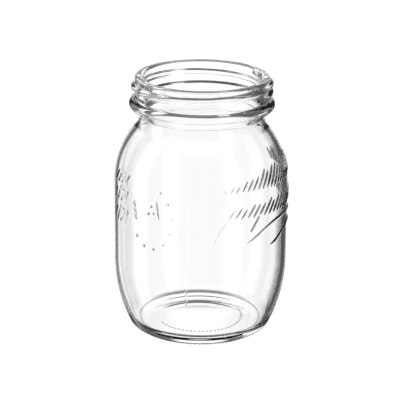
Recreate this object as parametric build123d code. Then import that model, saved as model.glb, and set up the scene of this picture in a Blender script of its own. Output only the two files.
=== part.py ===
from build123d import *

import os
from math import cos, exp, hypot, pi, radians, sin, sqrt

# Half-litre glass preserving jar with a 70 mm screw finish, open, without its closure.
# The real jar is one glass moulding. It is written as the regions that a glassmaker names,
# which meet face to face: lip, neck finish, thread, bead, shoulder, body, heel and bottom,
# and the raised work that the moulds leave on the wall. Millimetres, +Z up, axis on Z,
# origin on the surface that the jar stands on.

# ---- driving dimensions -------------------------------------------------------------------
HEIGHT = 129.4          # standing surface to the top of the lip
BODY_R = 43.1           # outside of the straight wall
FINISH_R = 33.0         # outside of the lip, and of the neck under the thread
THREAD_R = 34.95        # crest of the thread, for a 70 mm closure
THROAT_R = 28.8         # straight inside wall of the neck
WAIST_R = 31.2          # narrowest outside, under the bead

WALL_LOW, WALL_HIGH = 37.6, 75.6      # the straight wall runs between these heights
HEEL_R, TOE_R = 80.0, 8.0             # long curve of the heel, short curve at the foot
SHOULDER_R = 45.0                     # outside curve of the shoulder
WALL = 2.5                            # glass thickness of the straight wall
INNER_HEEL_R, CORNER_R = 74.0, 4.5    # inside of the heel, inside corner at the floor

LAND_IN_R = 26.6        # inner edge of the ring that the jar stands on
PUSH_UP = 2.5           # height of the hollow underneath, at the axis
PUSH_EDGE_R = 2.0       # rounding between the standing ring and the hollow
FLOOR_Z, FLOOR_R = 6.4, 400.0         # inside floor at the axis, and the radius of its dome

LIP_OUT_R, LIP_IN_R = 1.1, 1.7        # roundings of the lip, outside and inside
BEAD_AXIS_R, BEAD_Z, BEAD_R = 33.4, 115.6, 2.5
BEAD_TOP_FILLET, BEAD_FOOT_FILLET, WAIST_FILLET = 0.8, 1.2, 6.0
THROAT_FILLET = 12.0

THREAD_PITCH, THREAD_TURNS = 4.0, 1.2
THREAD_ANGLE, THREAD_Z = -37.0, 121.5   # where the thread starts
THREAD_WIDTH = 3.4                    # width of its root
THREAD_FADE = 0.08                    # share of its length over which each end fades

SINK = 0.4              # how deep a raised line starts inside the wall before it is trimmed
SLIVER = 0.05           # cubic millimetres; anything smaller is a cutting, not a raised mark
FADED = 0.12            # share of its size that a line keeps at its very end
RELIEF = 0.45           # height of the raised ornament
LINE_W = 1.15           # width of its lines
SEAM_HEIGHT, SEAM_WIDTH, SEAM_ANGLE = 0.15, 0.7, 261.0

# The ornament is drawn on the unrolled wall: s is the distance round it from the middle of
# the ears, z the height. Each ear is a row of leaning grains, and some end in a long awn.
# A grain's least rise and its growth are given; it grows by RAMP over the first part of the
# ear, and towards the ear's tip only TIP of the growth is left.
EARS_ANGLE = -22.0
GRAIN_LEAN = 0.72       # sideways run of a grain for each millimetre that it rises
UPPER_EAR = {"count": 25, "start": (-40.0, 80.4), "end": (36.0, 82.0), "rise": (3.4, 6.4),
             "awns": ()}
LOWER_EAR = {"count": 22, "start": (-38.0, 67.2), "end": (36.0, 67.8), "rise": (6.6, 0.8),
             "awns": (0, 5)}
RAMP, TIP, TIP_RAMP = 3.2, 0.3, 4.0
AWN = 7.0               # how much lower a grain with an awn starts
UNEVEN, UNEVEN_TURN = 0.13, 2.4   # share by which grains differ, and the turn from one to the next

# A tendril rises from its start to a lift, within a reach, over a length. The long one
# starts with an oval curl, which takes a share of its run.
CURL_S, CURL_Z, CURL_W, CURL_H = -33.0, 58.5, 10.5, 4.6
CURL_FROM, CURL_SWEEP, CURL_SHARE = 68.0, 202.0, 0.28
LONG_RISE = {"length": 62.0, "lift": 10.0, "reach": 16.0}
SHORT_START = (-12.0, 51.5)
SHORT_RISE = {"length": 34.0, "lift": 6.5, "reach": 12.0}
TENDRIL_W = 1.0

LEAF_TIERS, LEAVES = ((79.4, 5.6), (70.2, 6.6), (59.8, 7.2)), 4   # height and rise of each tier
LEAF_ANGLE, LEAF_STEP, LEAF_LEAN = -145.5, -5.2, 0.55
HIGH_LEAF, HIGH_LEAF_HALF = (-82.0, 102.0), 1.6   # the one leaf on the shoulder

LABEL_ANGLE, LABEL_Z, LABEL_TILT = -128.5, 70.5, 9.0   # a framed blank label
LABEL_W, LABEL_H, LABEL_LINE = 15.0, 11.5, 0.9
BERRIES, BERRY_R = 8, 0.8                          # on an oval arc beside the label
BERRY_S, BERRY_Z, BERRY_W, BERRY_H = 3.0, 67.0, 11.5, 15.5
BERRY_FROM, BERRY_SWEEP = 62.0, -200.0
SEEDS = ((3.5, 73.1), (4.6, 69.9), (1.9, 69.3))    # three seeds in the label
STIPPLES, STIPPLE_RING_R, STIPPLE_R, STIPPLE_HEIGHT = 96, 30.9, 0.75, 0.25
CODE_DOTS, CODE_RING_R, CODE_R, CODE_HEIGHT = 40, 21.5, 0.55, 0.3   # mould code underneath
CODE_FROM, CODE_STEP = -150.0, 5.4
OFF_SEAM = 40.0         # turn that keeps a dot clear of the plane in which the profile is drawn

# Heights at which the moulding is divided into its named regions.
BOTTOM_TOP, WAIST_Z, NECK_Z, LIP_Z = 10.2, 108.6, 118.9, 127.6


# ---- plane geometry -----------------------------------------------------------------------
def toward(start, through, distance):
    """Point at a distance from start, on the line towards through."""
    dx, dz = through[0] - start[0], through[1] - start[1]
    scale = distance / hypot(dx, dz)
    return (start[0] + dx * scale, start[1] + dz * scale)


def level(centre, reach, radius):
    """Point of a given radius at a given reach from a centre, above it."""
    return (radius, centre[1] + sqrt(reach**2 - (radius - centre[0]) ** 2))


def between(c1, reach1, c2, reach2):
    """Point at reach1 from c1 and reach2 from c2, on the left of the line from c1 to c2."""
    dx, dz = c2[0] - c1[0], c2[1] - c1[1]
    span = hypot(dx, dz)
    along = (reach1**2 - reach2**2 + span**2) / (2 * span)
    off = sqrt(reach1**2 - along**2)
    return (c1[0] + (along * dx - off * dz) / span, c1[1] + (along * dz + off * dx) / span)


def arc(centre, start, end):
    """Short arc about a centre, in the plane of the outline."""
    middle = ((start[0] + end[0]) / 2, (start[1] + end[1]) / 2)
    radius = hypot(start[0] - centre[0], start[1] - centre[1])
    return ThreePointArc(start, toward(centre, middle, radius), end)


def turned(edges):
    """Solid of revolution of a closed outline drawn in radius and height."""
    return revolve(Plane.XZ * make_face(edges), Axis.Z)


def slab(low, high):
    """Everything of the jar between two heights."""
    return Pos(0, 0, (low + high) / 2) * Cylinder(2 * BODY_R, high - low)


# ---- outside ------------------------------------------------------------------------------
HEEL_C = (BODY_R - HEEL_R, WALL_LOW)
TOE_C = (HEEL_C[0] + sqrt((HEEL_R - TOE_R) ** 2 - (WALL_LOW - TOE_R) ** 2), TOE_R)
SHOULDER_C = (BODY_R - SHOULDER_R, WALL_HIGH)
CREASE_C = level(SHOULDER_C, SHOULDER_R + WAIST_FILLET, WAIST_R + WAIST_FILLET)
BEAD_C = (BEAD_AXIS_R, BEAD_Z)
FOOT_C = (WAIST_R + BEAD_FOOT_FILLET,
          BEAD_Z + WAIST_R + BEAD_FOOT_FILLET - BEAD_AXIS_R - (BEAD_R + BEAD_FOOT_FILLET) * sqrt(2))
BEAD_TOP_C = level(BEAD_C, BEAD_R + BEAD_TOP_FILLET, FINISH_R + BEAD_TOP_FILLET)
LIP_OUT_C = (FINISH_R - LIP_OUT_R, HEIGHT - LIP_OUT_R)


def wall_radius(z):
    """Outside radius of the heel, the straight wall or the shoulder at a height."""
    if z > WALL_HIGH:
        return SHOULDER_C[0] + sqrt(SHOULDER_R**2 - (z - WALL_HIGH) ** 2)
    if z < WALL_LOW:
        return HEEL_C[0] + sqrt(HEEL_R**2 - (WALL_LOW - z) ** 2)
    return BODY_R


def lower_outside(grow=0.0):
    """Edges of the foot, heel, wall and shoulder, grown outwards for the raised work."""
    foot = (TOE_C[0], -grow)
    heel = toward(HEEL_C, TOE_C, HEEL_R + grow)
    low, high = (BODY_R + grow, WALL_LOW), (BODY_R + grow, WALL_HIGH)
    neck = toward(SHOULDER_C, CREASE_C, SHOULDER_R + grow)
    return [arc(TOE_C, foot, heel), arc(HEEL_C, heel, low), Line(low, high),
            arc(SHOULDER_C, high, neck)]


def upper_outside():
    """Edges from the shoulder over the waist, the bead and the neck to the lip."""
    shoulder_end = toward(SHOULDER_C, CREASE_C, SHOULDER_R)
    waist_low, waist_high = (WAIST_R, CREASE_C[1]), (WAIST_R, FOOT_C[1])
    diagonal = sin(pi / 4)
    foot_end = (FOOT_C[0] - BEAD_FOOT_FILLET * diagonal, FOOT_C[1] + BEAD_FOOT_FILLET * diagonal)
    flank = (BEAD_C[0] + BEAD_R * diagonal, BEAD_C[1] - BEAD_R * diagonal)
    bead_end = toward(BEAD_C, BEAD_TOP_C, BEAD_R)
    neck_low, neck_high = (FINISH_R, BEAD_TOP_C[1]), (FINISH_R, LIP_OUT_C[1])
    crest = (BEAD_C[0] + BEAD_R, BEAD_C[1])
    return [arc(CREASE_C, shoulder_end, waist_low), Line(waist_low, waist_high),
            arc(FOOT_C, waist_high, foot_end), Line(foot_end, flank),
            arc(BEAD_C, flank, crest), arc(BEAD_C, crest, bead_end),
            arc(BEAD_TOP_C, bead_end, neck_low), Line(neck_low, neck_high),
            arc(LIP_OUT_C, neck_high, (LIP_OUT_C[0], HEIGHT))]


# ---- underside and inside -----------------------------------------------------------------
DOME_R = (LAND_IN_R**2 + (PUSH_EDGE_R - PUSH_UP) ** 2 - PUSH_EDGE_R**2) / (2 * PUSH_UP)
DOME_C = (0, PUSH_UP - DOME_R)
PUSH_EDGE_C = (LAND_IN_R, PUSH_EDGE_R)


def underside():
    """Edges from the axis over the hollow to the ring that the jar stands on."""
    dome_end = toward(DOME_C, PUSH_EDGE_C, DOME_R)
    land = (LAND_IN_R, 0)
    return [arc(DOME_C, (0, PUSH_UP), dome_end), arc(PUSH_EDGE_C, dome_end, land),
            Line(land, (TOE_C[0], 0))]


def inside():
    """Edges from the lip down the throat, the shoulder, the wall and the heel to the floor."""
    lip_in_c = (THROAT_R + LIP_IN_R, HEIGHT - LIP_IN_R)
    inner_shoulder_r = SHOULDER_R - WALL
    throat_c = level(SHOULDER_C, inner_shoulder_r + THROAT_FILLET, THROAT_R + THROAT_FILLET)
    wall_r = BODY_R - WALL
    heel_c = (wall_r - INNER_HEEL_R, WALL_LOW)
    floor_c = (0, FLOOR_Z - FLOOR_R)
    corner_c = between(heel_c, INNER_HEEL_R - CORNER_R, floor_c, FLOOR_R + CORNER_R)
    lip_end, throat_low = (THROAT_R, lip_in_c[1]), (THROAT_R, throat_c[1])
    shoulder_top = toward(SHOULDER_C, throat_c, inner_shoulder_r)
    high, low = (wall_r, WALL_HIGH), (wall_r, WALL_LOW)
    heel_end = toward(heel_c, corner_c, INNER_HEEL_R)
    floor_end = toward(floor_c, corner_c, FLOOR_R)
    return [Line((LIP_OUT_C[0], HEIGHT), (lip_in_c[0], HEIGHT)),
            arc(lip_in_c, (lip_in_c[0], HEIGHT), lip_end), Line(lip_end, throat_low),
            arc(throat_c, throat_low, shoulder_top), arc(SHOULDER_C, shoulder_top, high),
            Line(high, low), arc(heel_c, low, heel_end), arc(corner_c, heel_end, floor_end),
            arc(floor_c, floor_end, (0, FLOOR_Z))]


moulding = turned(underside() + lower_outside() + upper_outside() + inside()
                  + [Line((0, FLOOR_Z), (0, PUSH_UP))])

# The same jar without its hollow trims what is raised on its outside.
top_centre = (0, HEIGHT)
blank = turned(underside() + lower_outside() + upper_outside()
               + [Line((LIP_OUT_C[0], HEIGHT), top_centre), Line(top_centre, (0, PUSH_UP))])


def skin(height):
    """Thin layer over the heel, wall and shoulder, of the height of some raised work."""
    edges = lower_outside(height)
    first, last = edges[0] @ 0, edges[-1] @ 1
    closing = [Line((last.X, last.Y), (0, last.Y)), Line((0, last.Y), (0, first.Y)),
               Line((0, first.Y), (first.X, first.Y))]
    return turned(edges + closing) - blank


# ---- raised lines -------------------------------------------------------------------------
DEGREES = 180 / pi / BODY_R   # degrees round the wall for a millimetre along it


def section(place, tangent, outward, half_width, height):
    """Closed outline of a rounded ridge, across its run."""
    across = outward.cross(tangent).normalized()
    left = place - across * half_width - outward * SINK
    right = place + across * half_width - outward * SINK
    return Wire([ThreePointArc(left, place + outward * height, right), Line(right, left)])


def ridge(point, half_width, height, count, fade):
    """Solid ridge along point(t), t from 0 to 1, that fades over a share of each end."""
    sections = []
    for i in range(count + 1):
        t = i / count
        place, outward = point(t)
        step = 0.5 / count
        tangent = (point(min(t + step, 1))[0] - point(max(t - step, 0))[0]).normalized()
        size = max(FADED, sin(pi / 2 * min(1, t / fade, (1 - t) / fade)))
        sections.append(section(place, tangent, outward, half_width * size, height * size))
    return Solid.make_loft(sections)


def on_wall(angle, z):
    """Point of the outside at an angle in degrees and a height, with its outward normal."""
    a, r, near = radians(angle), wall_radius(z), 0.05
    slope = (wall_radius(z - near) - wall_radius(z + near)) / (2 * near)
    return Vector(r * cos(a), r * sin(a), z), Vector(cos(a), sin(a), slope).normalized()


def wall_line(path, width=LINE_W, count=6, fade=0.35):
    """Raised line along path(t), which gives the distance round the wall and the height."""
    def point(t):
        s, z = path(t)
        return on_wall(EARS_ANGLE + s * DEGREES, z)
    return ridge(point, width / 2, RELIEF, count, fade)


def straight(start, end):
    """Straight path on the unrolled wall."""
    return lambda t: (start[0] + (end[0] - start[0]) * t, start[1] + (end[1] - start[1]) * t)


def raised(solids):
    """What of each solid stands proud of the jar, without slivers left by the trimming."""
    return Compound(children=[piece for solid in solids for piece in (solid - blank).solids()
                              if piece.volume > SLIVER])


def thread():
    """Right-handed thread: it climbs anticlockwise, seen from above."""
    def point(t):
        turns = THREAD_TURNS * t
        a = radians(THREAD_ANGLE + 360 * turns)
        out = Vector(cos(a), sin(a), 0)
        return out * FINISH_R + Vector(0, 0, THREAD_Z + THREAD_PITCH * turns), out
    neck = Pos(0, 0, HEIGHT / 2) * Cylinder(FINISH_R, HEIGHT)
    return ridge(point, THREAD_WIDTH / 2, THREAD_R - FINISH_R, 44, THREAD_FADE) - neck


def ear(count, start, end, rise, awns):
    """Grains of one ear; their rise grows over the first part of it and shrinks at its end."""
    grains = []
    for i in range(count):
        share = i / (count - 1)
        s, z = straight(start, end)(share)
        grown = min(1, RAMP * share, TIP + TIP_RAMP * (1 - share))
        tall = (rise[0] + rise[1] * grown) * (1 + UNEVEN * sin(UNEVEN_TURN * i))
        drop = AWN if i in awns else 0
        low = (s - drop * GRAIN_LEAN, z - drop)
        grains.append(wall_line(straight(low, (s + tall * GRAIN_LEAN, z + tall))))
    return grains


def tendrils():
    """Long tendril that curls under the ears and a short one under it."""
    def curl(t):
        turn = radians(CURL_FROM + CURL_SWEEP * t)
        return CURL_S + CURL_W * cos(turn), CURL_Z + CURL_H * sin(turn)

    def rising(start, length, lift, reach):
        return lambda t: (start[0] + length * t,
                          start[1] + lift * (1 - exp(-((length * t / reach) ** 2))))

    def long_tendril(t):
        if t < CURL_SHARE:
            return curl(t / CURL_SHARE)
        return rising(curl(1), **LONG_RISE)((t - CURL_SHARE) / (1 - CURL_SHARE))

    short_tendril = rising(SHORT_START, **SHORT_RISE)
    return raised([wall_line(long_tendril, TENDRIL_W, count=36, fade=0.08),
                   wall_line(short_tendril, TENDRIL_W, count=14, fade=0.15)])


def leaf_strokes():
    """Short leaning leaves in three tiers on the far left, and one on the shoulder."""
    leaves = []
    for z, rise in LEAF_TIERS:
        for k in range(LEAVES):
            s = (LEAF_ANGLE + LEAF_STEP * k - EARS_ANGLE) / DEGREES
            leaves.append(wall_line(straight((s - LEAF_LEAN * rise, z), (s, z + rise))))
    low, high = ([value + half for value in HIGH_LEAF] for half in (-HIGH_LEAF_HALF, HIGH_LEAF_HALF))
    leaves.append(wall_line(straight(low, high)))
    return raised(leaves)


def label_frame():
    """Blank label outline: a tilted rectangle of flat-topped line round a bare field."""
    frame = Box(BODY_R, LABEL_W, LABEL_H) - Box(
        2 * BODY_R, LABEL_W - 2 * LABEL_LINE, LABEL_H - 2 * LABEL_LINE)
    at = Rot(0, 0, LABEL_ANGLE) * Pos(BODY_R, 0, LABEL_Z) * Rot(LABEL_TILT, 0, 0)
    return Compound(children=(skin(RELIEF) & (at * frame)).solids())


def cap(place, outward, radius, height):
    """Sphere whose cap of a given radius and height stands on a surface."""
    deep = (radius**2 - height**2) / (2 * height)
    centre = place - outward * deep
    return Pos(centre.X, centre.Y, centre.Z) * Sphere(deep + height)


def berries():
    """Round berries on an arc that hugs the label's free side, and three seeds in the label."""
    swings = [radians(BERRY_FROM + BERRY_SWEEP * i / (BERRIES - 1)) for i in range(BERRIES)]
    spots = [(BERRY_S + BERRY_W * cos(swing), BERRY_Z + BERRY_H * sin(swing)) for swing in swings]
    return raised([cap(*on_wall(LABEL_ANGLE + s * DEGREES, z), BERRY_R, RELIEF)
                   for s, z in [*spots, *SEEDS]])


def mould_seams():
    """Fine fins where the two halves of the body mould met."""
    low, high = BOTTOM_TOP, CREASE_C[1] - WAIST_FILLET
    middle = (low + high) / 2
    blade = Pos(0, 0, middle) * Rot(0, 0, SEAM_ANGLE) * Box(4 * BODY_R, SEAM_WIDTH, high - low)
    return Compound(children=(skin(SEAM_HEIGHT) & blade).solids())


def dots_below(place, centre, side, radius, height, angles):
    """Low dots on the underside, turned about the axis to the given angles.

    The surface at the place is an arc about a centre; side is 1 where the glass is on the
    centre's side of it and -1 where it is on the other.
    """
    outward = (place - centre).normalized() * side
    dot = (Rot(0, 0, OFF_SEAM) * cap(place, outward, radius, height) - blank).solid()
    return Compound(children=[Rot(0, 0, angle) * dot for angle in angles])


def stipple_ring():
    """Ring of dots just outside the standing ring, clear of the surface below."""
    rise = TOE_R - sqrt(TOE_R**2 - (STIPPLE_RING_R - TOE_C[0]) ** 2)
    return dots_below(Vector(STIPPLE_RING_R, 0, rise), Vector(TOE_C[0], 0, TOE_C[1]), 1,
                      STIPPLE_R, STIPPLE_HEIGHT, [360 * i / STIPPLES for i in range(STIPPLES)])


def code_dots():
    """Row of dots that numbers the mould, on the hollow underneath."""
    place = level(DOME_C, DOME_R, CODE_RING_R)
    return dots_below(Vector(place[0], 0, place[1]), Vector(DOME_C[0], 0, DOME_C[1]), -1,
                      CODE_R, CODE_HEIGHT, [CODE_FROM + CODE_STEP * i for i in range(CODE_DOTS)])


# ---- nodes --------------------------------------------------------------------------------
nodes = {
    "bottom": moulding & slab(-1, BOTTOM_TOP),
    "heel": moulding & slab(BOTTOM_TOP, WALL_LOW),
    "body_wall": moulding & slab(WALL_LOW, WALL_HIGH),
    "shoulder": moulding & slab(WALL_HIGH, WAIST_Z),
    "transfer_bead": moulding & slab(WAIST_Z, NECK_Z),
    "neck_finish": moulding & slab(NECK_Z, LIP_Z),
    "sealing_lip": moulding & slab(LIP_Z, HEIGHT + 1),
    "screw_thread": thread(),
    "ear_grains": raised(ear(**UPPER_EAR) + ear(**LOWER_EAR)),
    "tendrils": tendrils(),
    "leaf_strokes": leaf_strokes(),
    "label_frame": label_frame(),
    "berries": berries(),
    "mould_seams": mould_seams(),
    "stipple_ring": stipple_ring(),
    "code_dots": code_dots(),
}

os.makedirs("parts", exist_ok=True)
for name, shape in nodes.items():
    export_step(shape, f"parts/{name}.step")
    print(name, len(shape.solids()), round(sum(s.volume for s in shape.solids()), 1))
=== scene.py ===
# %% [markdown]
# # An open preserving jar of clear glass
#
# The real jar is one piece of pressed and blown glass: a round-shouldered body, a narrow
# waist, a bead, a short screw thread and a rounded lip. Glass shows what it refracts, so the
# mesh has to be one closed skin, outside and inside, with no faces hidden between regions.
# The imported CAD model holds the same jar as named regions; it gives the sizes used here.

# %% Load the frame and read its sizes
import math

import bpy
import numpy as np
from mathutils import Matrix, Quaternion, Vector


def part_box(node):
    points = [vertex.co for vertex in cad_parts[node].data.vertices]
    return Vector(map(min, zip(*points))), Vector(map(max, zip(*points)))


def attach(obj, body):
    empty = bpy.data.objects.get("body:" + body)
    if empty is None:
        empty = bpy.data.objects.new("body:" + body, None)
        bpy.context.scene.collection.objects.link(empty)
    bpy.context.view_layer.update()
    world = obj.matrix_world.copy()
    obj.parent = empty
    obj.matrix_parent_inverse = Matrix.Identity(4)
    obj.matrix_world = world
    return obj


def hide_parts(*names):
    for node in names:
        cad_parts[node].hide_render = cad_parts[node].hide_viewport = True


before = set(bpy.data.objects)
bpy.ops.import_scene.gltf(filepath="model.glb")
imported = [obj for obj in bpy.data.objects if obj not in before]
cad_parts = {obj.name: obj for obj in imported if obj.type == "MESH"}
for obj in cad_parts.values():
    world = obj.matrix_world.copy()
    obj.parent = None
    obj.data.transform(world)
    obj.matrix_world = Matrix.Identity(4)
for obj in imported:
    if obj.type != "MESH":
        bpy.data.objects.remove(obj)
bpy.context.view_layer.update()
MM = 0.001
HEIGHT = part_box("sealing_lip")[1].z
BODY_R = (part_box("body_wall")[1].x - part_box("body_wall")[0].x) / 2
FINISH_R = (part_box("neck_finish")[1].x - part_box("neck_finish")[0].x) / 2
WALL_LOW, WALL_HIGH = (corner.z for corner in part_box("body_wall"))
print("height", round(HEIGHT / MM, 1), "body radius", round(BODY_R / MM, 2),
      "finish radius", round(FINISH_R / MM, 2), "mm")

# %% [markdown]
# ## Camera
#
# A long lens about a metre away keeps the jar's sides nearly parallel while the mouth still
# opens a little less than the foot. The camera is rolled by under a degree, so the jar leans.

# %% Aim the camera
CAMERA_DISTANCE = 1.0006
CAMERA_PITCH = math.radians(18.05)
CAMERA_ROLL = math.radians(0.68)
CAMERA_LENS, SENSOR = 180.7, 36.0
aim = Vector((-0.44 * MM, 0, 65.2 * MM))
look = Vector((0, math.cos(CAMERA_PITCH), -math.sin(CAMERA_PITCH)))
camera_data = bpy.data.cameras.new("camera")
camera_data.lens, camera_data.sensor_width = CAMERA_LENS, SENSOR
camera = bpy.data.objects.new("camera", camera_data)
camera.location = aim - look * CAMERA_DISTANCE
camera.rotation_mode = "QUATERNION"
camera.rotation_quaternion = look.to_track_quat("-Z", "Y") @ Quaternion((0, 0, 1), CAMERA_ROLL)
bpy.context.scene.collection.objects.link(camera)
bpy.context.scene.camera = camera
print("camera at", [round(v, 3) for v in camera.location])

# %% [markdown]
# ## Node trees written as Python
#
# Shaders and Geometry Nodes are both graphs. One small class wraps a socket that carries a
# number, so `1 - mask * 2` adds the Math nodes it needs; every other node comes from one
# method that takes its type, its settings and what goes into its sockets.

# %% The number class and the graph class
class Number:
    """A number on its way through a node tree; arithmetic on it adds Math nodes."""

    def __init__(self, graph, socket):
        self.graph, self.socket = graph, socket

    def math(self, operation, *others):
        node = self.graph.node("ShaderNodeMath", {"operation": operation},
                               dict(enumerate((self, *others))))
        return Number(self.graph, node.outputs[0])

    def __add__(self, other):
        return self.math("ADD", other)

    def __sub__(self, other):
        return self.math("SUBTRACT", other)

    def __rsub__(self, other):
        return self.graph.number(other).math("SUBTRACT", self)

    def __mul__(self, other):
        return self.math("MULTIPLY", other)

    def __truediv__(self, other):
        return self.math("DIVIDE", other)

    def __pow__(self, other):
        return self.math("POWER", other)

    __radd__, __rmul__ = __add__, __mul__

    def clamp(self):
        return self.math("MAXIMUM", 0.0).math("MINIMUM", 1.0)


class Graph:
    """A shader or geometry node tree that is filled from Python."""

    def __init__(self, tree):
        self.tree = tree

    def node(self, kind, settings=None, sockets=None):
        made = self.tree.nodes.new(kind)
        for name, value in (settings or {}).items():
            setattr(made, name, value)
        for key, value in (sockets or {}).items():
            self.feed(made.inputs[key], value)
        return made

    def feed(self, socket, value):
        if isinstance(value, Number):
            value = value.socket
        if isinstance(value, bpy.types.NodeSocket):
            self.tree.links.new(value, socket)
        else:
            socket.default_value = value

    def number(self, value):
        made = self.node("ShaderNodeValue")
        made.outputs[0].default_value = value
        return Number(self, made.outputs[0])


def geometry_graph(name, sockets):
    """A new geometry tree with named inputs; returns its graph, its inputs and its output node."""
    tree = bpy.data.node_groups.new(name, "GeometryNodeTree")
    tree.interface.new_socket("Geometry", in_out="OUTPUT", socket_type="NodeSocketGeometry")
    tree.interface.new_socket("Geometry", in_out="INPUT", socket_type="NodeSocketGeometry")
    for label, (kind, value) in sockets.items():
        item = tree.interface.new_socket(label, in_out="INPUT", socket_type="NodeSocket" + kind)
        if value is not None:
            item.default_value = value
    graph = Graph(tree)
    given = graph.node("NodeGroupInput").outputs
    return graph, given, graph.node("NodeGroupOutput")


def finish_tree(graph, geometry, material, output):
    """Every tree ends in Realize Instances and Set Material."""
    real = graph.node("GeometryNodeRealizeInstances", {}, {"Geometry": geometry})
    dressed = graph.node("GeometryNodeSetMaterial", {}, {"Geometry": real.outputs[0],
                                                         "Material": material})
    graph.feed(output.inputs[0], dressed.outputs[0])


def run_tree(source, graph, values, name):
    """Runs a geometry tree on a copy of source and returns the result as a plain mesh object."""
    modifier = source.modifiers.new(graph.tree.name, "NODES")
    modifier.node_group = graph.tree
    for item in graph.tree.interface.items_tree:
        if item.in_out == "INPUT" and item.name in values:
            modifier[item.identifier] = values[item.name]
    source.update_tag()
    depsgraph = bpy.context.evaluated_depsgraph_get()
    mesh = bpy.data.meshes.new_from_object(source.evaluated_get(depsgraph))
    source.modifiers.clear()
    made = bpy.data.objects.new(name, mesh)
    bpy.context.scene.collection.objects.link(made)
    print(name, len(mesh.vertices), "points", len(mesh.polygons), "faces")
    return made


def line_object(name, lines):
    """Mesh of open lines; each line is a list of points with its own rise and reach."""
    points, edges, rise, reach = [], [], [], []
    for line, line_rise, line_reach in lines:
        start = len(points)
        points += line
        edges += [(start + i, start + i + 1) for i in range(len(line) - 1)]
        shares = np.linspace(0, 1, len(line))
        taper = np.sqrt(np.clip(np.minimum(shares, 1 - shares) / 0.12, 0.05, 1))
        rise += list(line_rise * taper)
        reach += list(line_reach * taper)
    mesh = bpy.data.meshes.new(name)
    mesh.from_pydata(points, edges, [])
    for label, values in (("rise", rise), ("reach", reach)):
        mesh.attributes.new(label, "FLOAT", "POINT").data.foreach_set("value", values)
    made = bpy.data.objects.new(name, mesh)
    bpy.context.scene.collection.objects.link(made)
    return made


# %% [markdown]
# ## The glass
#
# Clear soda-lime glass is almost colourless. What makes it read as real is that it is not
# quite even: the blown wall is a little wavy, and handling leaves very faint dull patches.
# Those go into roughness and bump; the refraction itself is one constant on the shader.

# %% Glass material
GLASS_IOR = 1.52
glass = bpy.data.materials.new("clear_glass")
glass.use_nodes = True
shader = Graph(glass.node_tree)
glass.node_tree.nodes.clear()
place = shader.node("ShaderNodeTexCoord").outputs["Object"]


def noise(scale, detail, position=place):
    made = shader.node("ShaderNodeTexNoise", {"noise_dimensions": "3D"},
                       {"Vector": position, "Scale": scale, "Detail": detail})
    return Number(shader, made.outputs["Fac"])


stretched = shader.node("ShaderNodeMapping", {}, {"Vector": place, "Scale": (1.0, 1.0, 0.35)})
wave = noise(38.0, 1.0, stretched.outputs[0])
dull = (noise(55.0, 3.0) - 0.52).clamp() * 4.0
waves = shader.node("ShaderNodeBump", {}, {"Strength": 0.16, "Distance": 0.0006,
                                           "Height": wave})
tint = shader.node("ShaderNodeMix", {"data_type": "RGBA"},
                   {"Factor": wave, 6: (0.985, 0.995, 0.992, 1), 7: (0.972, 0.986, 0.984, 1)})
body = shader.node("ShaderNodeBsdfPrincipled", {}, {
    "Base Color": tint.outputs[2], "Roughness": dull.clamp() * 0.03 + 0.004,
    "IOR": GLASS_IOR, "Transmission Weight": 1.0, "Normal": waves.outputs[0]})
shader.node("ShaderNodeOutputMaterial", {}, {"Surface": body.outputs[0]})
print("glass made with", len(glass.node_tree.nodes), "nodes")

# %% [markdown]
# ## Outline of the jar
#
# The jar is turned, so its shape is one outline from the axis underneath, out over the foot,
# up the outside, over the lip, down the inside and back to the axis on the inside floor. The
# outline is straight runs and tangent arcs, walked here at a step that suits each stretch.

# %% Walk the outline
LAND_IN_R, TOE_R, HEEL_R, SHOULDER_R = 26.6 * MM, 8.0 * MM, 80.0 * MM, 45.0 * MM
PUSH_UP, PUSH_EDGE_R, FLOOR_Z, FLOOR_R = 2.5 * MM, 2.0 * MM, 6.4 * MM, 400.0 * MM
WALL, INNER_HEEL_R, CORNER_R, THROAT_R = 2.5 * MM, 74.0 * MM, 4.5 * MM, 28.8 * MM
WAIST_R, BEAD_AXIS_R, BEAD_Z, BEAD_R = 31.2 * MM, 33.4 * MM, 115.6 * MM, 2.5 * MM
BEAD_TOP_FILLET, BEAD_FOOT_FILLET, WAIST_FILLET = 0.8 * MM, 1.2 * MM, 6.0 * MM
THROAT_FILLET, LIP_OUT_R, LIP_IN_R = 12.0 * MM, 1.1 * MM, 1.7 * MM


def toward(start, through, distance):
    """Point at a distance from start, on the line towards through."""
    dx, dz = through[0] - start[0], through[1] - start[1]
    scale = distance / math.hypot(dx, dz)
    return (start[0] + dx * scale, start[1] + dz * scale)


def above(centre, reach, radius):
    """Point of a given radius at a given reach from a centre, above it."""
    return (radius, centre[1] + math.sqrt(reach**2 - (radius - centre[0]) ** 2))


def walk(points, step, centre=None):
    """Points from the first to the last, along a straight run or along an arc about centre."""
    start, end = points
    if centre is None:
        count = max(1, round(math.dist(start, end) / step))
        return [tuple(np.array(start) + (np.array(end) - np.array(start)) * i / count)
                for i in range(count)]
    first = math.atan2(start[1] - centre[1], start[0] - centre[0])
    turn = math.atan2(end[1] - centre[1], end[0] - centre[0]) - first
    turn = (turn + math.pi) % (2 * math.pi) - math.pi
    radius = math.dist(start, centre)
    count = max(2, round(abs(turn) * radius / step))
    return [(centre[0] + radius * math.cos(first + turn * i / count),
             centre[1] + radius * math.sin(first + turn * i / count)) for i in range(count)]


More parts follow.
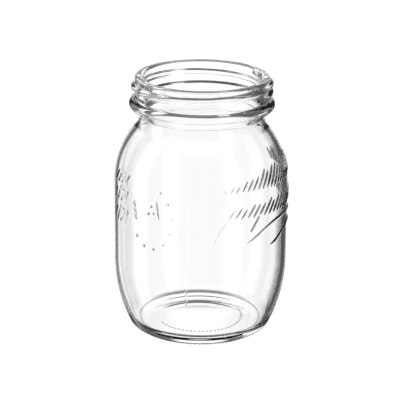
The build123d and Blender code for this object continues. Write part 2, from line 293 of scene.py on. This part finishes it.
heel_c = (BODY_R - HEEL_R, WALL_LOW)
toe_c = (heel_c[0] + math.sqrt((HEEL_R - TOE_R) ** 2 - (WALL_LOW - TOE_R) ** 2), TOE_R)
shoulder_c = (BODY_R - SHOULDER_R, WALL_HIGH)
crease_c = above(shoulder_c, SHOULDER_R + WAIST_FILLET, WAIST_R + WAIST_FILLET)
bead_c = (BEAD_AXIS_R, BEAD_Z)
foot_r = WAIST_R + BEAD_FOOT_FILLET
foot_c = (foot_r, BEAD_Z + foot_r - BEAD_AXIS_R - (BEAD_R + BEAD_FOOT_FILLET) * math.sqrt(2))
bead_top_c = above(bead_c, BEAD_R + BEAD_TOP_FILLET, FINISH_R + BEAD_TOP_FILLET)
lip_out_c = (FINISH_R - LIP_OUT_R, HEIGHT - LIP_OUT_R)
lip_in_c = (THROAT_R + LIP_IN_R, HEIGHT - LIP_IN_R)
dome_r = (LAND_IN_R**2 + (PUSH_EDGE_R - PUSH_UP) ** 2 - PUSH_EDGE_R**2) / (2 * PUSH_UP)
dome_c = (0.0, PUSH_UP - dome_r)
push_c = (LAND_IN_R, PUSH_EDGE_R)


def wall_radius(z):
    """Outside radius of the heel, the straight wall or the shoulder at a height."""
    if z > WALL_HIGH:
        return shoulder_c[0] + math.sqrt(SHOULDER_R**2 - (z - WALL_HIGH) ** 2)
    if z < WALL_LOW:
        return heel_c[0] + math.sqrt(HEEL_R**2 - (WALL_LOW - z) ** 2)
    return BODY_R


def wall_point(arc_length, z, centre_angle=0.0):
    """Point on the outside, an arc length round the wall from a centre angle, at a height."""
    angle = math.radians(centre_angle) + arc_length / BODY_R
    radius = wall_radius(z)
    return (radius * math.cos(angle), radius * math.sin(angle), z)


# %% [markdown]
# The outline is cut into bands, and each band has its own spacing round the jar: fine where
# the wall carries raised work, wide where it is plain. Neighbouring bands are joined by a
# row of triangles that steps along whichever ring is behind, like closing a zip.

# %% Bands of rings
EARS_ANGLE, LABEL_ANGLE, SEAM_ANGLE = -22.0, -128.5, 261.0
RAISED = ((EARS_ANGLE, 47.0 * MM), (-139.0, 24.0 * MM))
SEAMS, SEAM_HALF, SEAM_STEP = (SEAM_ANGLE, SEAM_ANGLE - 180.0), 0.6 * MM, 0.2 * MM
CODE_FROM, CODE_TO, STIPPLES_TO = 20.2 * MM, 22.8 * MM, 32.0 * MM   # rings that carry dots
AXIS_RING = 2.5 * MM                    # the innermost ring, round the point on the axis
RELIEF_LOW, RELIEF_HIGH = 49.0 * MM, 94.0 * MM


def near(angle, centre, half):
    """True within an arc length of a feature."""
    away = (angle - math.radians(centre) + math.pi) % (2 * math.pi) - math.pi
    return abs(away) * BODY_R < half


def columns(plain, relief=None):
    """Angles of one ring, spaced by an arc length that is finer at seams and raised work."""
    angles, angle = [], 0.0
    while angle < 2 * math.pi - plain / BODY_R / 2:
        angles.append(angle)
        step = plain
        if relief and any(near(angle, centre, half) for centre, half in RAISED):
            step = relief
        if any(near(angle, seam, SEAM_HALF + step) for seam in SEAMS):
            step = min(step, SEAM_STEP)
        angle += step / BODY_R
    return np.array(angles)


def evenly(step):
    """Angles of one ring, spaced by an even arc length."""
    return np.linspace(0, 2 * math.pi, round(2 * math.pi * BODY_R / step), False)


def lower_bands():
    """Underside, foot and heel."""
    dome_end = toward(dome_c, push_c, dome_r)
    mark_in, mark_out = (above(dome_c, dome_r, radius) for radius in (CODE_FROM, CODE_TO))
    land, toe = (LAND_IN_R, 0.0), (toe_c[0], 0.0)
    stipple_end = (STIPPLES_TO, TOE_R - math.sqrt(TOE_R**2 - (STIPPLES_TO - toe_c[0]) ** 2))
    heel_low = toward(heel_c, toe_c, HEEL_R)
    relief_low = (wall_radius(RELIEF_LOW), RELIEF_LOW)
    plain, marks, dots = evenly(3.0 * MM), evenly(0.56 * MM), evenly(0.4 * MM)
    return [
        (plain, walk((above(dome_c, dome_r, AXIS_RING), mark_in), 2.5 * MM, dome_c)),
        (marks, walk((mark_in, mark_out), 0.3 * MM, dome_c)),
        (plain, walk((mark_out, dome_end), 0.8 * MM, dome_c) + walk((dome_end, land), 0.5 * MM, push_c)
         + walk((land, toe), 0.5 * MM)),
        (dots, walk((toe, stipple_end), 0.3 * MM, toe_c)),
        (columns(1.8 * MM), walk((stipple_end, heel_low), 0.9 * MM, toe_c)
         + walk((heel_low, (BODY_R, WALL_LOW)), 2.2 * MM, heel_c)
         + walk(((BODY_R, WALL_LOW), relief_low), 2.2 * MM)),
    ]


def wall_bands():
    """The wall with its raised work, and the plain top of the shoulder."""
    relief_low = (BODY_R, RELIEF_LOW)
    relief_high = (wall_radius(RELIEF_HIGH), RELIEF_HIGH)
    fine = 0.5 * MM
    shoulder_end = toward(shoulder_c, crease_c, SHOULDER_R)
    return [
        (columns(1.8 * MM, fine), walk((relief_low, (BODY_R, WALL_HIGH)), fine)
         + walk(((BODY_R, WALL_HIGH), relief_high), fine, shoulder_c)),
        (columns(1.4 * MM), walk((relief_high, shoulder_end), 1.2 * MM, shoulder_c)
         + walk((shoulder_end, (WAIST_R, crease_c[1])), 0.35 * MM, crease_c)
         + walk(((WAIST_R, crease_c[1]), (WAIST_R, foot_c[1])), 0.6 * MM)),
    ]


def neck_bands():
    """Bead, neck and lip."""
    diagonal = math.sin(math.pi / 4)
    foot_end = (foot_c[0] - BEAD_FOOT_FILLET * diagonal, foot_c[1] + BEAD_FOOT_FILLET * diagonal)
    flank = (bead_c[0] + BEAD_R * diagonal, bead_c[1] - BEAD_R * diagonal)
    crest = (bead_c[0] + BEAD_R, bead_c[1])
    bead_end = toward(bead_c, bead_top_c, BEAD_R)
    neck_low, neck_high = (FINISH_R, bead_top_c[1]), (FINISH_R, lip_out_c[1])
    return [
        (evenly(1.0 * MM), walk(((WAIST_R, foot_c[1]), foot_end), 0.3 * MM, foot_c)
         + walk((foot_end, flank), 0.6 * MM) + walk((flank, crest), 0.35 * MM, bead_c)
         + walk((crest, bead_end), 0.35 * MM, bead_c)
         + walk((bead_end, neck_low), 0.25 * MM, bead_top_c)),
        (evenly(0.8 * MM), walk((neck_low, neck_high), 0.3 * MM)),
        (evenly(1.0 * MM), walk((neck_high, (lip_out_c[0], HEIGHT)), 0.3 * MM, lip_out_c)
         + walk(((lip_out_c[0], HEIGHT), (lip_in_c[0], HEIGHT)), 0.4 * MM)
         + walk(((lip_in_c[0], HEIGHT), (THROAT_R, lip_in_c[1])), 0.3 * MM, lip_in_c)),
    ]


def inner_bands():
    """Throat, inside of the shoulder, wall and heel, and the floor."""
    inner_shoulder_r, wall_r = SHOULDER_R - WALL, BODY_R - WALL
    throat_c = above(shoulder_c, inner_shoulder_r + THROAT_FILLET, THROAT_R + THROAT_FILLET)
    inner_heel_c = (wall_r - INNER_HEEL_R, WALL_LOW)
    floor_c = (0.0, FLOOR_Z - FLOOR_R)
    dx, dz = floor_c[0] - inner_heel_c[0], floor_c[1] - inner_heel_c[1]
    span, reach = math.hypot(dx, dz), INNER_HEEL_R - CORNER_R
    along = (reach**2 - (FLOOR_R + CORNER_R) ** 2 + span**2) / (2 * span)
    off = math.sqrt(reach**2 - along**2)
    corner_c = (inner_heel_c[0] + (along * dx - off * dz) / span,
                inner_heel_c[1] + (along * dz + off * dx) / span)
    shoulder_top = toward(shoulder_c, throat_c, inner_shoulder_r)
    heel_end = toward(inner_heel_c, corner_c, INNER_HEEL_R)
    floor_end = toward(floor_c, corner_c, FLOOR_R)
    near_axis = above(floor_c, FLOOR_R, AXIS_RING)
    return [(evenly(2.2 * MM), walk(((THROAT_R, lip_in_c[1]), (THROAT_R, throat_c[1])), 1.6 * MM)
             + walk(((THROAT_R, throat_c[1]), shoulder_top), 0.6 * MM, throat_c)
             + walk((shoulder_top, (wall_r, WALL_HIGH)), 1.6 * MM, shoulder_c)
             + walk(((wall_r, WALL_HIGH), (wall_r, WALL_LOW)), 2.5 * MM)
             + walk(((wall_r, WALL_LOW), heel_end), 1.8 * MM, inner_heel_c)
             + walk((heel_end, floor_end), 0.8 * MM, corner_c)
             + walk((floor_end, near_axis), 2.2 * MM, floor_c) + [near_axis])]


def zip_rings(low, low_angles, high, high_angles):
    """Triangles between two rings of different spacing; low and high are first indices."""
    faces, i, j = [], 0, 0
    m, n = len(low_angles), len(high_angles)
    next_low, next_high = np.append(low_angles[1:], 7.0), np.append(high_angles[1:], 7.0)
    while i < m or j < n:
        if j == n or (i < m and next_low[i] <= next_high[j]):
            faces.append((low + i % m, low + (i + 1) % m, high + j % n))
            i += 1
        else:
            faces.append((low + i % m, high + (j + 1) % n, high + j % n))
            j += 1
    return faces


def turn_mesh(name, bands, first_z, last_z):
    """Closed mesh of the bands, with a point on the axis at each end."""
    rings = [(angles, row) for angles, rows in bands for row in rows]
    points, starts = [(0.0, 0.0, first_z)], []
    for angles, (radius, z) in rings:
        starts.append(len(points))
        points += zip(radius * np.cos(angles), radius * np.sin(angles), np.full(len(angles), z))
    faces = []
    for k in range(len(rings) - 1):
        (a, _), (b, _), low, high = rings[k], rings[k + 1], starts[k], starts[k + 1]
        if len(a) == len(b):
            n = len(a)
            faces += [(low + i, low + (i + 1) % n, high + (i + 1) % n, high + i) for i in range(n)]
        else:
            faces += zip_rings(low, a, high, b)
    n, last = len(rings[0][0]), starts[-1]
    faces += [(0, 1 + (i + 1) % n, 1 + i) for i in range(n)]
    points.append((0.0, 0.0, last_z))
    n, tip = len(rings[-1][0]), len(points) - 1
    faces += [(last + i, last + (i + 1) % n, tip) for i in range(n)]
    mesh = bpy.data.meshes.new(name)
    mesh.from_pydata(points, [], faces)
    made = bpy.data.objects.new(name, mesh)
    bpy.context.scene.collection.objects.link(made)
    print(name, len(points), "points", len(faces), "faces")
    return made


blank = turn_mesh("blank", lower_bands() + wall_bands() + neck_bands() + inner_bands(),
                  PUSH_UP, FLOOR_Z)

# %% [markdown]
# ## Raised work
#
# Everything that stands proud of the turned outline is a line or a dot that the mould was cut
# with: the thread, the ornament, the label, the seams and the ring of dots at the foot. One
# tree presses them all. It measures how far each point of the glass is from the nearest line
# and lifts it along its normal, so the result stays one smooth skin that refracts truly.

# %% Tree that presses lines into relief
def lifted(graph, geometry, lines, target, foot):
    """Raises geometry near lines that carry a rise and a reach; foot shapes the flank."""
    def read(label):
        named = graph.node("GeometryNodeInputNamedAttribute", {"data_type": "FLOAT"}, {"Name": label})
        picked = graph.node("GeometryNodeSampleIndex", {"data_type": "FLOAT", "domain": "POINT"},
                            {"Geometry": lines, "Value": named.outputs[0], "Index": nearest.outputs[0]})
        return Number(graph, picked.outputs[0])

    position = graph.node("GeometryNodeInputPosition").outputs[0]
    nearest = graph.node("GeometryNodeSampleNearest", {"domain": "POINT"},
                         {"Geometry": lines, "Sample Position": position})
    away = graph.node("GeometryNodeProximity", {"target_element": target},
                      {0: lines, "Source Position": position})
    share = Number(graph, away.outputs["Distance"]) / read("reach")
    height = (1 - share * share).clamp() ** foot * read("rise")
    normal = graph.node("GeometryNodeInputNormal").outputs[0]
    lift = graph.node("ShaderNodeVectorMath", {"operation": "SCALE"}, {0: normal, "Scale": height})
    return graph.node("GeometryNodeSetPosition", {}, {
        "Geometry": geometry, "Offset": lift.outputs[0]}).outputs[0]


press, given, output = geometry_graph("press_relief", {
    "Thread": ("Object", None), "Wall lines": ("Object", None), "Foot dots": ("Object", None),
    "Thread flank": ("Float", 0.8), "Line flank": ("Float", 1.5)})


def lines_of(label):
    info = press.node("GeometryNodeObjectInfo", {"transform_space": "ORIGINAL"},
                      {"Object": given[label]})
    return info.outputs["Geometry"]


shape = lifted(press, given["Geometry"], lines_of("Thread"), "EDGES", given["Thread flank"])
shape = lifted(press, shape, lines_of("Wall lines"), "EDGES", given["Line flank"])
shape = lifted(press, shape, lines_of("Foot dots"), "POINTS", given["Line flank"])
smooth = press.node("GeometryNodeSetShadeSmooth", {}, {0: shape})
finish_tree(press, smooth.outputs[0], glass, output)

# %% [markdown]
# ## The thread
#
# A screw thread is a helix. The Spiral curve makes it from its pitch and turns; reversed, it
# climbs anticlockwise seen from above, which is a right-handed thread. Its rise fades at both
# ends, where the real thread runs out into the neck.

# %% Helix of the thread
THREAD_PITCH, THREAD_TURNS, THREAD_ANGLE, THREAD_Z = 4.0 * MM, 1.2, -37.0, 121.5 * MM
THREAD_RISE, THREAD_REACH, THREAD_FADE = 1.95 * MM, 1.75 * MM, 0.06


def store(graph, geometry, label, value):
    return graph.node("GeometryNodeStoreNamedAttribute", {"data_type": "FLOAT", "domain": "POINT"},
                      {"Geometry": geometry, "Name": label, "Value": value}).outputs[0]


helix, given, output = geometry_graph("thread_helix", {
    "Pitch": ("Float", THREAD_PITCH), "Turns": ("Float", THREAD_TURNS),
    "Root radius": ("Float", FINISH_R), "Start angle": ("Float", math.radians(THREAD_ANGLE)),
    "Start height": ("Float", THREAD_Z), "Rise": ("Float", THREAD_RISE),
    "Reach": ("Float", THREAD_REACH), "Fade": ("Float", THREAD_FADE)})
pitch, turns = Number(helix, given["Pitch"]), Number(helix, given["Turns"])
spiral = helix.node("GeometryNodeCurveSpiral", {}, {
    "Resolution": 180, "Rotations": turns, "Start Radius": given["Root radius"],
    "End Radius": given["Root radius"], "Height": pitch * turns, "Reverse": True})
along = Number(helix, helix.node("GeometryNodeSplineParameter").outputs["Factor"])
fade = (along.math("MINIMUM", 1 - along) / given["Fade"]).clamp() ** 0.5 + 0.01
rising = store(helix, spiral.outputs[0], "rise", fade * given["Rise"])
reaching = store(helix, rising, "reach", fade * given["Reach"])
wire = helix.node("GeometryNodeCurveToMesh", {}, {"Curve": reaching})
turned = helix.node("ShaderNodeCombineXYZ", {}, {"Z": given["Start angle"]})
raised = helix.node("ShaderNodeCombineXYZ", {}, {"Z": given["Start height"]})
placed = helix.node("GeometryNodeTransform", {}, {
    "Geometry": wire.outputs[0], "Rotation": turned.outputs[0], "Translation": raised.outputs[0]})
finish_tree(helix, placed.outputs[0], glass, output)
seed_mesh = line_object("seed", [([(0, 0, 0), (0, 0, MM)], 0, 0)])
thread_line = run_tree(seed_mesh, helix, {}, "thread_line")

# %% [markdown]
# ## Ears, tendrils and label
#
# The ornament lies on one side only. Each ear is a row of leaning grains, so the row is one
# tree: it puts points along a line, stands a short leaning line on each and lets the grains
# grow over the first part of the ear and shrink at its tip. Grains that lean along a round
# wall would stand off it, so the tree then pulls every point back to the wall's own radius.

# %% Tree for a row of leaning grains
GRAIN_POINTS, GRAIN_LEAN = 9, 0.72      # the lean is the sideways run per millimetre of rise
TIP, TIP_RAMP, UNEVEN_TURN = 0.3, 4.0, 2.4
rows, given, output = geometry_graph("row_of_grains", {
    "Count": ("Int", 25), "Least height": ("Float", 3.4 * MM), "Growth": ("Float", 6.4 * MM),
    "Ramp": ("Float", 3.2), "Lean": ("Float", GRAIN_LEAN), "Unevenness": ("Float", 0.13),
    "Seed": ("Int", 0), "Rise": ("Float", 0.5 * MM), "Reach": ("Float", 0.75 * MM)})
curve = rows.node("GeometryNodeMeshToCurve", {}, {"Mesh": given["Geometry"]})
spots = rows.node("GeometryNodeResampleCurve", {"mode": "COUNT"},
                  {"Curve": curve.outputs[0], "Count": given["Count"]})
along = Number(rows, rows.node("GeometryNodeSplineParameter").outputs["Factor"])
index = Number(rows, rows.node("GeometryNodeInputIndex").outputs[0])
position = rows.node("GeometryNodeInputPosition").outputs[0]
lean = Number(rows, given["Lean"])
round_wall = rows.node("ShaderNodeVectorMath", {"operation": "CROSS_PRODUCT"},
                       {0: (0, 0, 1), 1: position})
sideways = rows.node("ShaderNodeVectorMath", {"operation": "NORMALIZE"}, {0: round_wall.outputs[0]})
leaning = rows.node("ShaderNodeVectorMath", {"operation": "SCALE"},
                    {0: sideways.outputs[0], "Scale": lean})
heading = rows.node("ShaderNodeVectorMath", {"operation": "ADD"},
                    {0: leaning.outputs[0], 1: (0, 0, 1)})
facing = rows.node("FunctionNodeAlignRotationToVector", {"axis": "Z"}, {"Vector": heading.outputs[0]})
grown = (along * Number(rows, given["Ramp"])).math("MINIMUM", (1 - along) * TIP_RAMP + TIP).clamp()
uneven = (index * UNEVEN_TURN + given["Seed"]).math("SINE")
tall = (grown * given["Growth"] + given["Least height"]) * (uneven * given["Unevenness"] + 1)
length = tall * (lean * lean + 1).math("SQRT")
stalk = rows.node("GeometryNodeMeshLine", {"mode": "OFFSET"},
                  {"Count": GRAIN_POINTS, "Offset": (0, 0, 1 / (GRAIN_POINTS - 1))})
share = index / (GRAIN_POINTS - 1)
belly = (share * (1 - share) * 4 + 0.04).clamp() ** 0.4
rising = store(rows, stalk.outputs[0], "rise", belly * given["Rise"])
reaching = store(rows, rising, "reach", belly * given["Reach"])
size = rows.node("ShaderNodeCombineXYZ", {}, {"X": length, "Y": length, "Z": length})
standing = rows.node("GeometryNodeInstanceOnPoints", {}, {
    "Points": spots.outputs[0], "Instance": reaching, "Rotation": facing.outputs[0],
    "Scale": size.outputs[0]})
loose = rows.node("GeometryNodeRealizeInstances", {}, {"Geometry": standing.outputs[0]})
split = rows.node("ShaderNodeSeparateXYZ", {}, {0: position})
x, y, z = (Number(rows, split.outputs[i]) for i in range(3))
over = (z - WALL_HIGH).math("MAXIMUM", 0.0)
wall = (SHOULDER_R**2 - over * over).math("SQRT") + shoulder_c[0]
pull = wall / (x * x + y * y).math("SQRT")
on_wall = rows.node("ShaderNodeCombineXYZ", {}, {"X": x * pull, "Y": y * pull, "Z": z})
snug = rows.node("GeometryNodeSetPosition", {}, {"Geometry": loose.outputs[0],
                                                 "Position": on_wall.outputs[0]})
finish_tree(rows, snug.outputs[0], glass, output)

# %% [markdown]
# The other lines are drawn on the unrolled wall: s is the distance round it from a centre
# angle and z is the height, both in millimetres. A tendril leaves its start level, rises
# within its reach and becomes level again; the long one begins with an oval curl.

# %% Tendrils and leaves
LINE_RISE, LINE_REACH = 0.5 * MM, 0.62 * MM
CURL_S, CURL_Z, CURL_W, CURL_H = -33.0, 58.5, 10.5, 4.6
CURL_FROM, CURL_SWEEP, CURL_SHARE = 68.0, 202.0, 0.28
LONG_RISE = {"length": 62.0, "lift": 10.0, "reach": 16.0}
SHORT_START, SHORT_RISE = (-12.0, 51.5), {"length": 34.0, "lift": 6.5, "reach": 12.0}
LEAF_TIERS, LEAVES = ((79.4, 5.6), (70.2, 6.6), (59.8, 7.2)), 4   # height and rise of each tier
LEAF_ANGLE, LEAF_STEP, LEAF_LEAN = -145.5, -5.2, 0.55
HIGH_LEAF, HIGH_LEAF_HALF = (-82.0, 102.0), 1.6                   # the one on the shoulder
wall_lines = []


def draw(centre, path, count=60, thick=1.0, wide=1.0):
    """Adds a line along path(t), drawn on the wall from a centre angle."""
    line = [wall_point(s * MM, z * MM, centre) for s, z in map(path, np.linspace(0, 1, count))]
    wall_lines.append((line, LINE_RISE * thick, LINE_REACH * wide))


def straight(start, end):
    """Straight path from start to end."""
    return lambda t: (start[0] + (end[0] - start[0]) * t, start[1] + (end[1] - start[1]) * t)


def rising_from(start, length, lift, reach):
    """Path that rises from level, quickly at first, and becomes level again."""
    return lambda t: (start[0] + length * t,
                      start[1] + lift * (1 - math.exp(-((length * t / reach) ** 2))))


def curl(t):
    """Oval curl at the start of the long tendril."""
    turn = math.radians(CURL_FROM + CURL_SWEEP * t)
    return CURL_S + CURL_W * math.cos(turn), CURL_Z + CURL_H * math.sin(turn)


def long_tendril(t):
    """The curl, then the long rise."""
    if t < CURL_SHARE:
        return curl(t / CURL_SHARE)
    return rising_from(curl(1), **LONG_RISE)((t - CURL_SHARE) / (1 - CURL_SHARE))


draw(EARS_ANGLE, long_tendril, 140)
draw(EARS_ANGLE, rising_from(SHORT_START, **SHORT_RISE))
for z, tall in LEAF_TIERS:
    for k in range(LEAVES):
        draw(LEAF_ANGLE + LEAF_STEP * k, straight((-LEAF_LEAN * tall, z), (0, z + tall)), 20)
leaf_low, leaf_high = ([value + half for value in HIGH_LEAF] for half in (-HIGH_LEAF_HALF, HIGH_LEAF_HALF))
draw(EARS_ANGLE, straight(leaf_low, leaf_high), 12)
print("tendrils and leaves", len(wall_lines), "lines")

# %% [markdown]
# A blank label stands left of the middle: four lines, turned a little, round three seeds. An
# oval arc of berries hugs its free side, and each seed or berry is a dash too short to look
# like one. The two mould seams are the finest lines of all.

# %% Label, berries and seams
LABEL_Z, LABEL_TILT, LABEL_HALF_W, LABEL_HALF_H = 70.5, math.radians(9.0), 7.05, 5.3
BERRIES, BERRY_FROM, BERRY_SWEEP = 8, 62.0, -200.0
BERRY_S, BERRY_Z, BERRY_W, BERRY_H = 3.0, 67.0, 11.5, 15.5
SEEDS = [(3.5, 73.1), (4.6, 69.9), (1.9, 69.3)]
DASH_S, DASH_Z, DASH_THICK, DASH_WIDE = 0.4, 0.5, 1.3, 1.4
SEAM_FROM, SEAM_TO, SEAM_RISE, SEAM_REACH = 10.5 * MM, 102.0 * MM, 0.12 * MM, 0.4 * MM

along_tilt, across_tilt = math.cos(LABEL_TILT), math.sin(LABEL_TILT)
corners = [(w * along_tilt - h * across_tilt, LABEL_Z + w * across_tilt + h * along_tilt)
           for w, h in ((-LABEL_HALF_W, -LABEL_HALF_H), (LABEL_HALF_W, -LABEL_HALF_H),
                        (LABEL_HALF_W, LABEL_HALF_H), (-LABEL_HALF_W, LABEL_HALF_H))]
for k, start in enumerate(corners):
    draw(LABEL_ANGLE, straight(start, corners[(k + 1) % 4]), 40)
swings = np.radians(BERRY_FROM + BERRY_SWEEP * np.arange(BERRIES) / (BERRIES - 1))
berries = [(BERRY_S + BERRY_W * math.cos(a), BERRY_Z + BERRY_H * math.sin(a)) for a in swings]
for s, z in berries + SEEDS:
    dash = straight((s - DASH_S, z - DASH_Z), (s + DASH_S, z + DASH_Z))
    draw(LABEL_ANGLE, dash, 5, DASH_THICK, DASH_WIDE)
for seam in SEAMS:
    line = [wall_point(0.0, z, seam) for z in np.linspace(SEAM_FROM, SEAM_TO, 120)]
    wall_lines.append((line, SEAM_RISE, SEAM_REACH))
print("label, berries and seams bring it to", len(wall_lines), "lines")

# %% [markdown]
# Both ears come from the same tree with their own inputs. Two grains of the lower ear run
# down into a long awn, which is one more straight line with the grains' lean.

# %% Ears and awns
UPPER_EAR = ((-40, 80.4), (36, 82.0), {"Count": 25})
LOWER_EAR = ((-38, 67.2), (36, 67.8),
             {"Count": 22, "Least height": 6.6 * MM, "Growth": 0.8 * MM})
AWNS, AWN = (0, 5), 7.0
ears = []
for start, end, values in (UPPER_EAR, LOWER_EAR):
    base = [wall_point(s * MM, z * MM, EARS_ANGLE)
            for s, z in map(straight(start, end), np.linspace(0, 1, 60))]
    path = line_object("ear_path", [(base, 0, 0)])
    ears.append(run_tree(path, rows, values, f"ear_{len(ears)}"))
    bpy.data.objects.remove(path)
start, end, values = LOWER_EAR
for i in AWNS:
    s, z = straight(start, end)(i / (values["Count"] - 1))
    draw(EARS_ANGLE, straight((s - AWN * GRAIN_LEAN, z - AWN), (s + GRAIN_LEAN, z + 1)), 30)
drawn_lines = line_object("drawn_lines", wall_lines)


def joined(name, parts):
    """One mesh object from several, which are removed."""
    with bpy.context.temp_override(active_object=parts[0], selected_editable_objects=parts):
        bpy.ops.object.join()
    parts[0].name = name
    return parts[0]


relief_lines = joined("relief_lines", [drawn_lines, *ears])
print("all the wall's lines have", len(relief_lines.data.vertices), "points")

# %% [markdown]
# ## Dots at the foot
#
# Hot glass scuffs on the conveyor, so the foot carries a ring of low dots that keep the smooth
# glass off the belt. They are points on a circle, and the same tree raises them. A shorter
# row of dots underneath numbers the mould.

# %% Dots of the foot
STIPPLES, STIPPLE_R, CODE_R = 96, 30.9 * MM, 21.5 * MM
dots, given, output = geometry_graph("dot_row", {
    "Count": ("Int", STIPPLES), "Radius": ("Float", STIPPLE_R),
    "Height": ("Float", TOE_R - math.sqrt(TOE_R**2 - (STIPPLE_R - toe_c[0]) ** 2)),
    "First angle": ("Float", 0.0), "Step": ("Float", 2 * math.pi / STIPPLES),
    "Rise": ("Float", 0.28 * MM), "Reach": ("Float", 0.75 * MM)})
points = dots.node("GeometryNodeMeshLine", {"mode": "OFFSET"}, {"Count": given["Count"]})
index = Number(dots, dots.node("GeometryNodeInputIndex").outputs[0])
angle, radius = index * given["Step"] + given["First angle"], Number(dots, given["Radius"])
turned = dots.node("ShaderNodeCombineXYZ", {}, {
    "X": radius * angle.math("COSINE"), "Y": radius * angle.math("SINE"), "Z": given["Height"]})
placed = dots.node("GeometryNodeSetPosition", {}, {"Geometry": points.outputs[0],
                                                   "Position": turned.outputs[0]})
rising = store(dots, placed.outputs[0], "rise", given["Rise"])
finish_tree(dots, store(dots, rising, "reach", given["Reach"]), glass, output)
stipples = run_tree(seed_mesh, dots, {}, "stipples")
code = run_tree(seed_mesh, dots, {
    "Count": 40, "Radius": CODE_R, "Height": above(dome_c, dome_r, CODE_R)[1],
    "First angle": math.radians(-150.0), "Step": math.radians(5.4),
    "Rise": 0.32 * MM, "Reach": 0.65 * MM}, "code")
foot_points = joined("foot_points", [stipples, code])

# %% Press the jar
jar = run_tree(blank, press, {"Thread": thread_line, "Wall lines": relief_lines,
                              "Foot dots": foot_points}, "glass_jar")
for helper in (blank, thread_line, relief_lines, foot_points, seed_mesh):
    bpy.data.objects.remove(helper)
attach(jar, "root")
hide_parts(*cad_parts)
print("triangles", sum(len(p.vertices) - 2 for p in jar.data.polygons))

# %% [markdown]
# ## Floor and light
#
# Clear glass is drawn by what stands behind it. In a bright-field set a white field lies
# straight behind the glass, and everything beside that field is dark. The flat middle of the
# jar shows the field; its thick, turning edges bend the view aside and show the dark, so the
# jar draws its own outline. The floor is a white sheet that only the camera sees, and the sky
# carries one soft field behind the jar for each side from which it is looked at.

# %% Floor
FLOOR_HALF, FLOOR_DROP, WHITE = 6.0, 0.2 * MM, 1.05


def flat_square(name, half, z):
    mesh = bpy.data.meshes.new(name)
    corners = [(-half, -half, z), (half, -half, z), (half, half, z), (-half, half, z)]
    mesh.from_pydata(corners, [], [(0, 1, 2, 3)])
    made = bpy.data.objects.new(name, mesh)
    bpy.context.scene.collection.objects.link(made)
    return made


floor = flat_square("floor", FLOOR_HALF, -FLOOR_DROP)
paper = bpy.data.materials.new("white_floor")
paper.use_nodes = True
paper.node_tree.nodes.clear()
sheet = Graph(paper.node_tree)
glow = sheet.node("ShaderNodeEmission", {}, {"Color": (1, 1, 1, 1), "Strength": WHITE})
sheet.node("ShaderNodeOutputMaterial", {}, {"Surface": glow.outputs[0]})
floor.data.materials.append(paper)
floor.visible_diffuse = floor.visible_glossy = floor.visible_transmission = False
floor.visible_shadow = floor.visible_volume_scatter = False

# %% Sky with one white field behind the jar for each side
FIELDS = ((90.0, 1.0), (135.0, 0.8), (180.0, 0.8), (315.0, 0.8))   # bearing and share of width
FIELD_LEFT, FIELD_RIGHT, FIELD_EDGE = 16.0, 15.5, 6.0
FIELD_LOW, FIELD_HIGH, RISE_EDGE = -42.0, 60.0, 10.0
FIELD_STRENGTH, DARK_STRENGTH, TOP_STRENGTH = 1.15, 0.1, 1.2
TOP_FROM, TOP_EDGE = 50.0, 20.0

world = bpy.data.worlds.new("studio")
bpy.context.scene.world = world
world.use_nodes = True
world.node_tree.nodes.clear()
sky = Graph(world.node_tree)
split = sky.node("ShaderNodeSeparateXYZ", {}, {
    0: sky.node("ShaderNodeTexCoord").outputs["Generated"]})
east, north, up = (Number(sky, split.outputs[i]) for i in range(3))
DEGREE = math.radians(1.0)


def past(value, limit, edge):
    """0 before the limit and 1 past it, with a soft edge of that width; all in degrees."""
    return ((value - limit) / edge + 0.5).clamp()


height = up.math("ARCSINE") / DEGREE
field = sky.number(0.0)
for bearing, width in FIELDS:
    turn = bearing * DEGREE
    ahead = east * math.cos(turn) + north * math.sin(turn)
    aside = north * math.cos(turn) - east * math.sin(turn)
    angle = aside.math("ARCTAN2", ahead) / DEGREE
    inside = past(angle, -FIELD_RIGHT * width, FIELD_EDGE)
    field = field + inside * (1 - past(angle, FIELD_LEFT * width, FIELD_EDGE))
level = past(height, FIELD_LOW, RISE_EDGE) * (1 - past(height, FIELD_HIGH, RISE_EDGE))
shine = field * level * (FIELD_STRENGTH - DARK_STRENGTH) + DARK_STRENGTH
shine = shine + past(height, TOP_FROM, TOP_EDGE) * TOP_STRENGTH
seen = Number(sky, sky.node("ShaderNodeLightPath").outputs["Is Camera Ray"])
shine = seen * WHITE + (1 - seen) * shine
backdrop = sky.node("ShaderNodeBackground", {}, {"Color": (1, 1, 1, 1), "Strength": shine})
sky.node("ShaderNodeOutputWorld", {}, {"Surface": backdrop.outputs[0]})
bpy.context.scene.view_settings.view_transform = "Standard"
